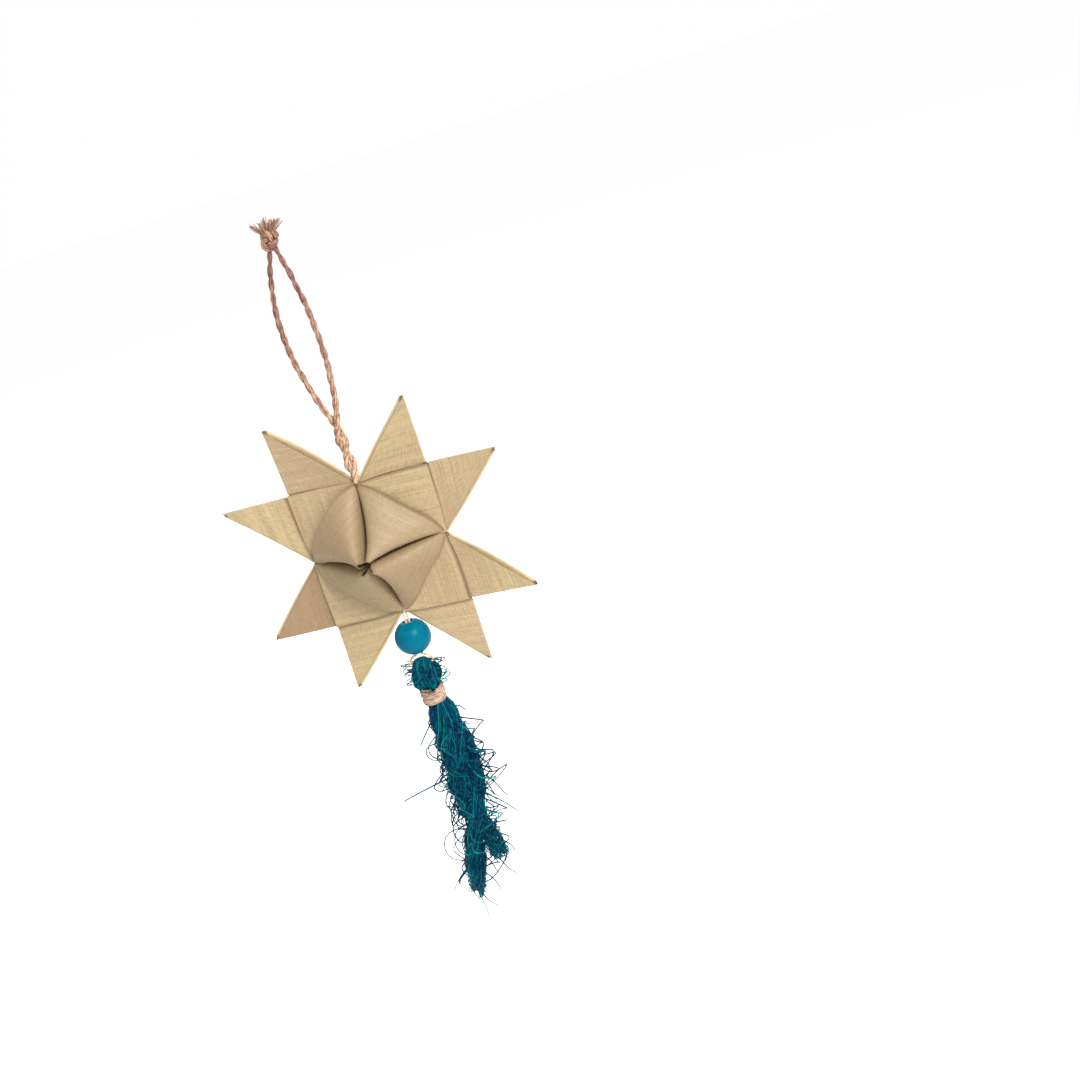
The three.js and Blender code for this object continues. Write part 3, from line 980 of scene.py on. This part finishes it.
def lock_fibres(bundle, guides, tassel, rng):
    """Fibres that follow a lock, each wandering a little to its own side."""
    count, steps = tassel.fibres, FIBRE_POINTS
    share = np.linspace(0, 1, steps)
    at = np.linspace(0, 1, guides.shape[1])
    spread = np.interp(share, SPREAD_SHARES, SPREADS) * MM
    thick = tassel.fibre / 2 * (1 - 0.5 * share**3)
    for guide in guides:
        stop = rng.uniform(0.86, 1.04, count)
        along = np.clip(share * stop[:, None], 0, 1)
        lines = np.stack([np.interp(along, at, guide[:, k]) for k in range(3)], axis=-1)
        offset = rng.normal(size=(count, 3)) * (0.62, 0.62, 0.2)
        twist = rng.uniform(-2.5, 2.5, (count, 1)) * share
        x, y = offset[:, :1], offset[:, 1:2]
        lines[..., 0] += spread * (x * np.cos(twist) - y * np.sin(twist))
        lines[..., 1] += spread * (x * np.sin(twist) + y * np.cos(twist))
        for k in (0, 1):
            ripple = rng.uniform(0.05, 0.6, (count, 1)) * MM * ease(share, 0.03, 0.2)
            pace = rng.uniform(12, 40, (count, 1))
            start = rng.uniform(0, 6, (count, 1))
            lines[..., k] += ripple * np.sin(share * pace + start)
        lines[..., 2] += offset[:, 2:] * MM * share
        tone = np.clip(rng.normal(0.5, 0.26, count) + rng.normal(0, 0.14), 0, 1)
        bundle.add(lines, np.broadcast_to(thick, (count, steps)), 3, tone)


def head_fibres(bundle, tassel, rng):
    """Fibres folded over the string: up in front, over the top and down behind."""
    count, steps = tassel.head_fibres, LOOP_POINTS
    share = np.linspace(0, 1, steps)
    foot, top = BINDING_HIGH[2] - 1.5 * MM, TASSEL_HIGH[2]
    across = rng.uniform(-1, 1, (count, 1))
    depth = rng.uniform(0.45, 1, (count, 1)) ** 0.7
    rise = np.sin(np.pi * share) ** 0.75
    belly = np.sin(np.pi * np.clip(rise, 0, 1) ** 0.8 * 0.86)
    x = across * (1.9 + 1.7 * belly * depth) * MM + rng.uniform(-0.5, 0.5, (count, 1)) * MM * rise
    y = -np.cos(np.pi * share) * (1.6 + 1.8 * belly * depth) * MM
    z = foot + (top - foot) * rise * depth**0.35 * (1 - 0.16 * across**2)
    pace = rng.uniform(5, 16, (count, 1))
    start = rng.uniform(0, 6, (count, 1))
    x = x + 0.25 * MM * np.sin(share * pace + start) * rise
    lines = np.stack([x, y, z], axis=-1)
    tones = np.clip(rng.normal(0.5, 0.25, count), 0, 1)
    bundle.add(lines, np.full((count, steps), tassel.fibre / 2), 3, tones)


def loose_tones(count, rng):
    return np.clip(rng.normal(0.3, 0.22, count), 0, 1)


def loop_fibres(bundle, guides, tassel, rng):
    """Fibres that leave the locks, loop through the air and come back lower down."""
    count, steps = tassel.loops, LOOP_POINTS
    share = np.linspace(0, 1, steps)[:, None]
    lines = []
    for _ in range(count):
        guide = guides[rng.integers(len(guides))]
        i = rng.integers(3, len(guide) - 9)
        first, last = guide[i], guide[i + rng.integers(3, 9)]
        bearing = rng.uniform(0, 2 * np.pi)
        away = np.array([math.cos(bearing), 0.8 * math.sin(bearing), rng.uniform(-0.5, 0.3)])
        reach = min(4.4 + rng.gamma(1.6, 1.7), LOOP_REACH) * MM
        arch = np.sin(np.pi * share) ** 1.2
        curl = np.cross(away, (0, 0, 1)) * np.sin(share * rng.uniform(4, 9)) * arch
        lines.append(first + (last - first) * share + reach * (away * arch + 0.45 * curl))
    thick = np.full((count, steps), tassel.fibre * 1.05)
    bundle.add(np.array(lines), thick, 4, loose_tones(count, rng))


def loose_ends(bundle, guides, tassel, rng):
    """Fibres that spring out of the locks, curl and end in the air."""
    count, steps = tassel.loose_ends, END_POINTS
    share = np.linspace(0, 1, steps)[:, None]
    lines = []
    for _ in range(count):
        guide = guides[rng.integers(len(guides))]
        i = rng.integers(3, len(guide))
        bearing = rng.uniform(0, 2 * np.pi)
        away = np.array([math.cos(bearing), 0.8 * math.sin(bearing), rng.uniform(-0.9, 0.3)])
        down = np.array([rng.uniform(-0.5, 0.5), rng.uniform(-0.4, 0.4), -1])
        size = min(4 + rng.gamma(2.2, 1.6), END_REACH) * MM
        curl = unit(np.cross(away, down)) * rng.uniform(-1, 1)
        loop = np.sin(share * rng.uniform(2, 6)) * 0.4
        spring = away * share * (1.3 - 0.6 * share) + down * share**1.5 * 0.7
        lines.append(guide[i] + size * (spring + curl * loop))
    thick = tassel.fibre * 1.1 * (1 - 0.4 * share.T**2)
    bundle.add(np.array(lines), np.broadcast_to(thick, (count, steps)), 4, loose_tones(count, rng))


def stray_fibres(bundle, guides, tassel):
    """The few long, nearly straight fibres that point away from the tassel."""
    share = np.linspace(0, 1, 8)[:, None]
    for place, bearing, lean, size in STRAYS:
        foot = guides[0][round(place * (guides.shape[1] - 1))]
        turn = math.radians(bearing)
        across = np.array([math.cos(turn), math.sin(turn), -lean])
        line = foot + size * MM * (across * share + (0, 0, -0.06) * share**2)
        bundle.add(line[None], 1.6 * tassel.fibre * (1 - 0.4 * share.T), 4, 0.35)


def head_loops(bundle, tassel, rng):
    """Fibres that stand round the head in small loops."""
    count, steps = tassel.head_loops, LOOP_POINTS
    share = np.linspace(0, 1, steps)[:, None]
    low, high = BINDING_HIGH[2], TASSEL_HIGH[2]
    lines = []
    for _ in range(count):
        bearing = rng.uniform(0, 2 * np.pi)
        away = np.array([math.cos(bearing), math.sin(bearing), 0])
        beside = np.cross(away, (0, 0, 1)) * rng.uniform(-1, 1)
        first = away * 2.6 * MM + (0, 0, rng.uniform(low + 1 * MM, high - 1 * MM))
        last = first + beside * 2 * MM - (0, 0, rng.uniform(0.5, 4.5) * MM)
        arch = np.sin(np.pi * share) * rng.uniform(2.2, 4.2) * MM
        lines.append(first + (last - first) * share + away * arch + beside * arch * 0.4)
    thick = np.full((count, steps), tassel.fibre * 0.8)
    bundle.add(np.array(lines), thick, 4, loose_tones(count, rng) + 0.15)


def lock_cores(bundle, guides):
    """Dark, solid middles of the locks and of the head, which close the gaps between fibres; their dark
    tone is painted shade between the fibres.
    """
    at = np.linspace(0, 1, guides.shape[1])
    thick = np.interp(at, CORE_SHARES, CORE_RADII) * MM
    # Dark tones 0.16 and 0.2: painted shade between the fibres
    bundle.add(guides, np.broadcast_to(thick, guides.shape[:2]), 7, 0.16)
    foot, top = BINDING_LOW[2], TASSEL_HIGH[2] - 0.9 * MM
    share = np.linspace(0, 1, 24)
    line = np.stack([0 * share, 0 * share, foot + (top - foot) * share], axis=1)
    body = np.interp(share, HEAD_SHARES, HEAD_RADII) * MM
    bundle.add(line[None], body[None], 14, 0.2)


BINDING_TURNS = 9
BINDING_STEPS = 40
BINDING_TILTS = (-0.25 * MM, 0.45 * MM)
BINDING_RADIUS = 0.27 * MM
BINDING_FIBRES = 100
BINDING_HAIRS = 14


def binding_turns(bundle, rng):
    """Two layers of thin twine round the neck, not quite even, that cross each other."""
    steps = BINDING_TURNS * BINDING_STEPS
    share = np.linspace(0, 1, steps)
    bearing = 2 * np.pi * BINDING_TURNS * share
    height = BINDING_HIGH[2] - BINDING_LOW[2]
    radius = (BINDING_HIGH[0] - BINDING_LOW[0]) / 2 - 0.5 * MM
    for layer, tilt in enumerate(BINDING_TILTS):
        shift = rng.uniform(0, 6)
        away = radius + (0.22 * layer - 0.1) * MM + 0.14 * MM * np.sin(bearing * 0.37 + shift)
        climb = share if layer == 0 else 1 - share
        z = BINDING_LOW[2] + 0.6 * MM + (height - 1.2 * MM) * climb
        z = z + tilt * np.sin(bearing) + 0.2 * MM * np.sin(bearing * 0.61 + shift)
        line = np.stack([away * np.cos(bearing + shift), away * np.sin(bearing + shift), z], axis=1)
        bundle.add(line[None], np.full((1, steps), BINDING_RADIUS), 7, 0.25 + 0.1 * layer)
        surface_fibres(bundle, line, BINDING_RADIUS, BINDING_FIBRES, 60, 0.07 * MM, rng)
        loose_hairs(bundle, line, BINDING_HAIRS, 2.2 * MM, 0.05 * MM, rng)


# Bead and string

BEAD_RINGS = 44
BEAD_SIDES = 56
BEAD_LIP = 0.25 * MM
STRING_DIAMETER = 0.76 * MM
STRING_PITCH = 2.6 * MM
STRING_APART = 0.46 * MM
STRING_STEP = 0.3 * MM
STRING_FIBRES = 20


def bead_shell(bead, material):
    """A turned bead with a rounded hole, not quite round."""
    sides, lip = BEAD_SIDES, BEAD_LIP
    ball, hole = bead.diameter / 2, bead.bore / 2
    rim = math.asin((hole + lip) / ball)
    fall = np.linspace(rim, math.pi - rim, BEAD_RINGS)
    outer = np.stack([ball * np.sin(fall), ball * np.cos(fall)], axis=1)
    edge = ball * math.cos(rim)
    bend = np.linspace(0.35, math.pi / 2, 5)
    under = np.stack([hole + lip - lip * np.sin(bend), -edge + lip * (1 - np.cos(bend))], axis=1)
    profile = np.concatenate([outer, under, (under * (1, -1))[::-1]])
    turn = 2 * np.pi * np.arange(sides) / sides
    points = np.stack([
        profile[:, None, 0] * np.cos(turn),
        profile[:, None, 0] * np.sin(turn),
        np.broadcast_to(profile[:, None, 1], (len(profile), sides)),
    ], axis=-1)
    points *= 1 + 0.006 * np.sin(points[..., :1] / MM * 0.9 + 1) * np.sin(points[..., 2:] / MM * 0.8)
    points[..., 2] += BEAD_CENTRE
    corner = np.arange(len(profile) * sides).reshape(len(profile), sides)
    onward, ahead = np.roll(corner, -1, axis=0), np.roll(corner, -1, axis=1)
    faces = np.stack([corner, onward, np.roll(onward, -1, axis=1), ahead], axis=-1)
    return mesh_piece("painted_bead", points.reshape(-1, 3), faces.reshape(-1, 4).tolist(), material)


def string_route():
    """Down from the star through the bead, through the fold of the tassel and back up."""
    top, eye = STRING_HIGH[2] + TUCK, STRING_LOW[2] + STRING_DIAMETER / 2
    leg = [
        (STRING_APART, top),
        (STRING_APART, BEAD_CENTRE),
        (STRING_APART, BEAD_LOW[2]),
        (2.3 * MM, TASSEL_HIGH[2] + 0.2 * MM),
        (3.4 * MM, eye + 0.7 * MM),
        (2.7 * MM, eye),
    ]
    right = [(x, 0, z) for x, z in leg]
    left = [(-x, 0, z) for x, z in reversed(leg)]
    return smooth_path([*right, (0, 0, eye), *left], STRING_STEP)


# Stage

SENSOR_WIDTH = 36
FLOOR_SIDES = 96

# For each light: its name, its place from the star's centre, its size in metres and its power in watts
LIGHTS = (
    ("key", (0.75, -0.7, 0.8), 0.5, 24.0),
    ("back", (-0.5, 0.95, 0.7), 0.6, 7.0),
)


def place_camera(scene, stage):
    turn, rise = stage.azimuth, stage.elevation
    back = Vector((math.sin(turn) * math.cos(rise), -math.cos(turn) * math.cos(rise), math.sin(rise)))
    right = Vector((math.cos(turn), math.sin(turn), 0))
    up = back.cross(right)
    roll = Matrix.Rotation(stage.roll, 3, back)
    right, up = roll @ right, roll @ up
    data = bpy.data.cameras.new("camera")
    data.lens = stage.lens
    data.sensor_width = SENSOR_WIDTH
    data.clip_start = 0.01
    camera = bpy.data.objects.new("camera", data)
    star = Vector((0, 0, STAR_CENTRE))
    camera.location = star + back * stage.distance + right * stage.across + up * stage.below
    camera.rotation_euler = Matrix((right, up, back)).transposed().to_euler()
    scene.collection.objects.link(camera)
    scene.camera = camera


def make_floor(stage):
    """A round, flat floor so wide that its far edge lies at the horizon."""
    turn = 2 * np.pi * np.arange(FLOOR_SIDES) / FLOOR_SIDES
    reach, depth = stage.floor_reach, -stage.floor
    points = [(reach * math.cos(bearing), reach * math.sin(bearing), depth) for bearing in turn]
    pale = Finish("pale_floor").surface(specular=0, base_color=stage.pale, roughness=1)
    floor = mesh_piece("floor", points, [list(range(FLOOR_SIDES))], pale)


def make_lights(scene, stage):
    world = bpy.data.worlds.new("studio")
    world.use_nodes = True
    background = world.node_tree.nodes["Background"]
    background.inputs["Color"].default_value = (1, 1, 1, 1)
    background.inputs["Strength"].default_value = stage.ambient
    scene.world = world
    target = Vector((0, 0, STAR_CENTRE))
    for name, place, size, power in LIGHTS:
        data = bpy.data.lights.new(name, "AREA")
        data.size = size
        data.energy = power
        lamp = bpy.data.objects.new(name, data)
        lamp.location = target + Vector(place)
        lamp.rotation_euler = (target - lamp.location).to_track_quat("-Z", "Y").to_euler()
        scene.collection.objects.link(lamp)


# Operators

class ORNAMENT_OT_stage(bpy.types.Operator):
    """Set up the camera, the pale floor and the soft lights"""

    bl_idname = "ornament.stage"
    bl_label = "Stage"

    def execute(self, context):
        stage = context.scene.ornament_stage
        context.scene.view_settings.view_transform = "Standard"
        place_camera(context.scene, stage)
        make_floor(stage)
        make_lights(context.scene, stage)
        return {"FINISHED"}


class ORNAMENT_OT_hanging_cord(bpy.types.Operator):
    """Make the two strands of the loop, its knot and its frayed ends"""

    bl_idname = "ornament.hanging_cord"
    bl_label = "Hanging Cord"

    def execute(self, context):
        twine = context.scene.ornament_twine
        rng = np.random.default_rng(11)
        jute = fibre_finish("jute_twine", twine.shade, twine.middle, twine.light, 0.55)
        tied = Bundle()
        for offset in (KNOT_SPLIT, -KNOT_SPLIT):
            path = knot_route() + np.array([0, offset, 0.4 * offset])
            twine_bundle(tied, path, KNOT_TWINE, 2 * twine.pitch, rng, KNOT_FIBRES)
        frayed_ends(tied, rng)
        knot = dress(tied.piece("cord_knot", jute), "twine", "hanging_cord")
        for name, side, upper in (("right_strand", 1, RIGHT_STRAND), ("left_strand", -1, LEFT_STRAND)):
            path = strand_route(side, upper)
            bundle = Bundle()
            look = (STRAND_FIBRES, STRAND_TAPER, FADE)
            twine_bundle(bundle, path, twine.diameter, twine.pitch, rng, *look)
            loose_hairs(bundle, path, twine.hairs, HAIR_REACH, HAIR_RADIUS, rng)
            strand = dress(bundle.piece(name, jute), "twine", "hanging_cord")
        return {"FINISHED"}


class ORNAMENT_OT_leaf_strips(bpy.types.Operator):
    """Make the four leaf strips, woven and folded into the star"""

    bl_idname = "ornament.leaf_strips"
    bl_label = "Leaf Strips"

    def execute(self, context):
        leaf = context.scene.ornament_leaf
        outer = leaf_finish("leaf_outer_face", leaf, leaf.straw)
        inner = leaf_finish("leaf_inner_face", leaf, leaf.tan)
        for number in range(4):
            dress(leaf_strip(leaf, number, (outer, inner)), "leaf", f"leaf_strip_{number + 1}")
        return {"FINISHED"}


class ORNAMENT_OT_bead(bpy.types.Operator):
    """Make the painted bead"""

    bl_idname = "ornament.bead"
    bl_label = "Bead"

    def execute(self, context):
        bead = context.scene.ornament_bead
        dress(bead_shell(bead, bead_finish(bead)), "bead_paint", "bead")
        return {"FINISHED"}


class ORNAMENT_OT_bead_string(bpy.types.Operator):
    """Make the thin string that carries the bead and the tassel"""

    bl_idname = "ornament.bead_string"
    bl_label = "Bead String"

    def execute(self, context):
        twine = context.scene.ornament_twine
        rng = np.random.default_rng(12)
        pale = plain_fibre_finish("pale_string", twine.string_shade, twine.string_light, 0.6)
        bundle = Bundle()
        twine_bundle(bundle, string_route(), STRING_DIAMETER, STRING_PITCH, rng, STRING_FIBRES)
        dress(bundle.piece("doubled_string", pale), "string", "bead_string")
        return {"FINISHED"}


class ORNAMENT_OT_tassel(bpy.types.Operator):
    """Make the tassel's locks, its folded head and its loose fibres"""

    bl_idname = "ornament.tassel"
    bl_label = "Tassel"

    def execute(self, context):
        tassel = context.scene.ornament_tassel
        rng = np.random.default_rng(13)
        dyed = fibre_finish("dyed_jute", tassel.shade, tassel.middle, tassel.light, 0.5)
        guides = lock_paths(tassel, rng)
        skirt = Bundle()
        lock_cores(skirt, guides)
        lock_fibres(skirt, guides, tassel, rng)
        dress(skirt.piece("tassel_skirt", dyed), "dyed_fibre", "tassel")
        head = Bundle()
        head_fibres(head, tassel, rng)
        head_loops(head, tassel, rng)
        dress(head.piece("tassel_head", dyed), "dyed_fibre", "tassel")
        loose = Bundle()
        loop_fibres(loose, guides, tassel, rng)
        loose_ends(loose, guides, tassel, rng)
        stray_fibres(loose, guides, tassel)
        dress(loose.piece("tassel_fuzz", dyed), "dyed_fibre", "tassel")
        return {"FINISHED"}


class ORNAMENT_OT_binding(bpy.types.Operator):
    """Make the turns of twine round the neck of the tassel"""

    bl_idname = "ornament.binding"
    bl_label = "Binding"

    def execute(self, context):
        twine = context.scene.ornament_twine
        rng = np.random.default_rng(14)
        wound = plain_fibre_finish("binding_twine", twine.binding_shade, twine.binding_light, 0.5)
        bundle = Bundle()
        binding_turns(bundle, rng)
        dress(bundle.piece("wound_binding", wound), "twine", "tassel_binding")
        return {"FINISHED"}


class ORNAMENT_PT_panel(bpy.types.Panel):
    """Lists the ornament's pieces in the order in which they are made"""

    bl_idname = "ORNAMENT_PT_panel"
    bl_label = "Woven Star"
    bl_space_type = "VIEW_3D"
    bl_region_type = "UI"
    bl_category = "Woven Star"

    def draw(self, context):
        for operator in OPERATORS:
            self.layout.operator(operator.bl_idname)


SETTINGS = {
    "ornament_leaf": LeafSettings,
    "ornament_twine": TwineSettings,
    "ornament_bead": BeadSettings,
    "ornament_tassel": TasselSettings,
    "ornament_stage": StageSettings,
}
OPERATORS = (
    ORNAMENT_OT_stage,
    ORNAMENT_OT_hanging_cord,
    ORNAMENT_OT_leaf_strips,
    ORNAMENT_OT_bead,
    ORNAMENT_OT_bead_string,
    ORNAMENT_OT_tassel,
    ORNAMENT_OT_binding,
)


def register():
    for made in (*SETTINGS.values(), *OPERATORS, ORNAMENT_PT_panel):
        bpy.utils.register_class(made)
    for name, settings in SETTINGS.items():
        setattr(bpy.types.Scene, name, PointerProperty(type=settings))


def unregister():
    for name in SETTINGS:
        delattr(bpy.types.Scene, name)
    for made in reversed((*SETTINGS.values(), *OPERATORS, ORNAMENT_PT_panel)):
        bpy.utils.unregister_class(made)


def main():
    register()
    for operator in OPERATORS:
        group, name = operator.bl_idname.split(".")
        getattr(getattr(bpy.ops, group), name)()


if __name__ == "__main__":
    main()
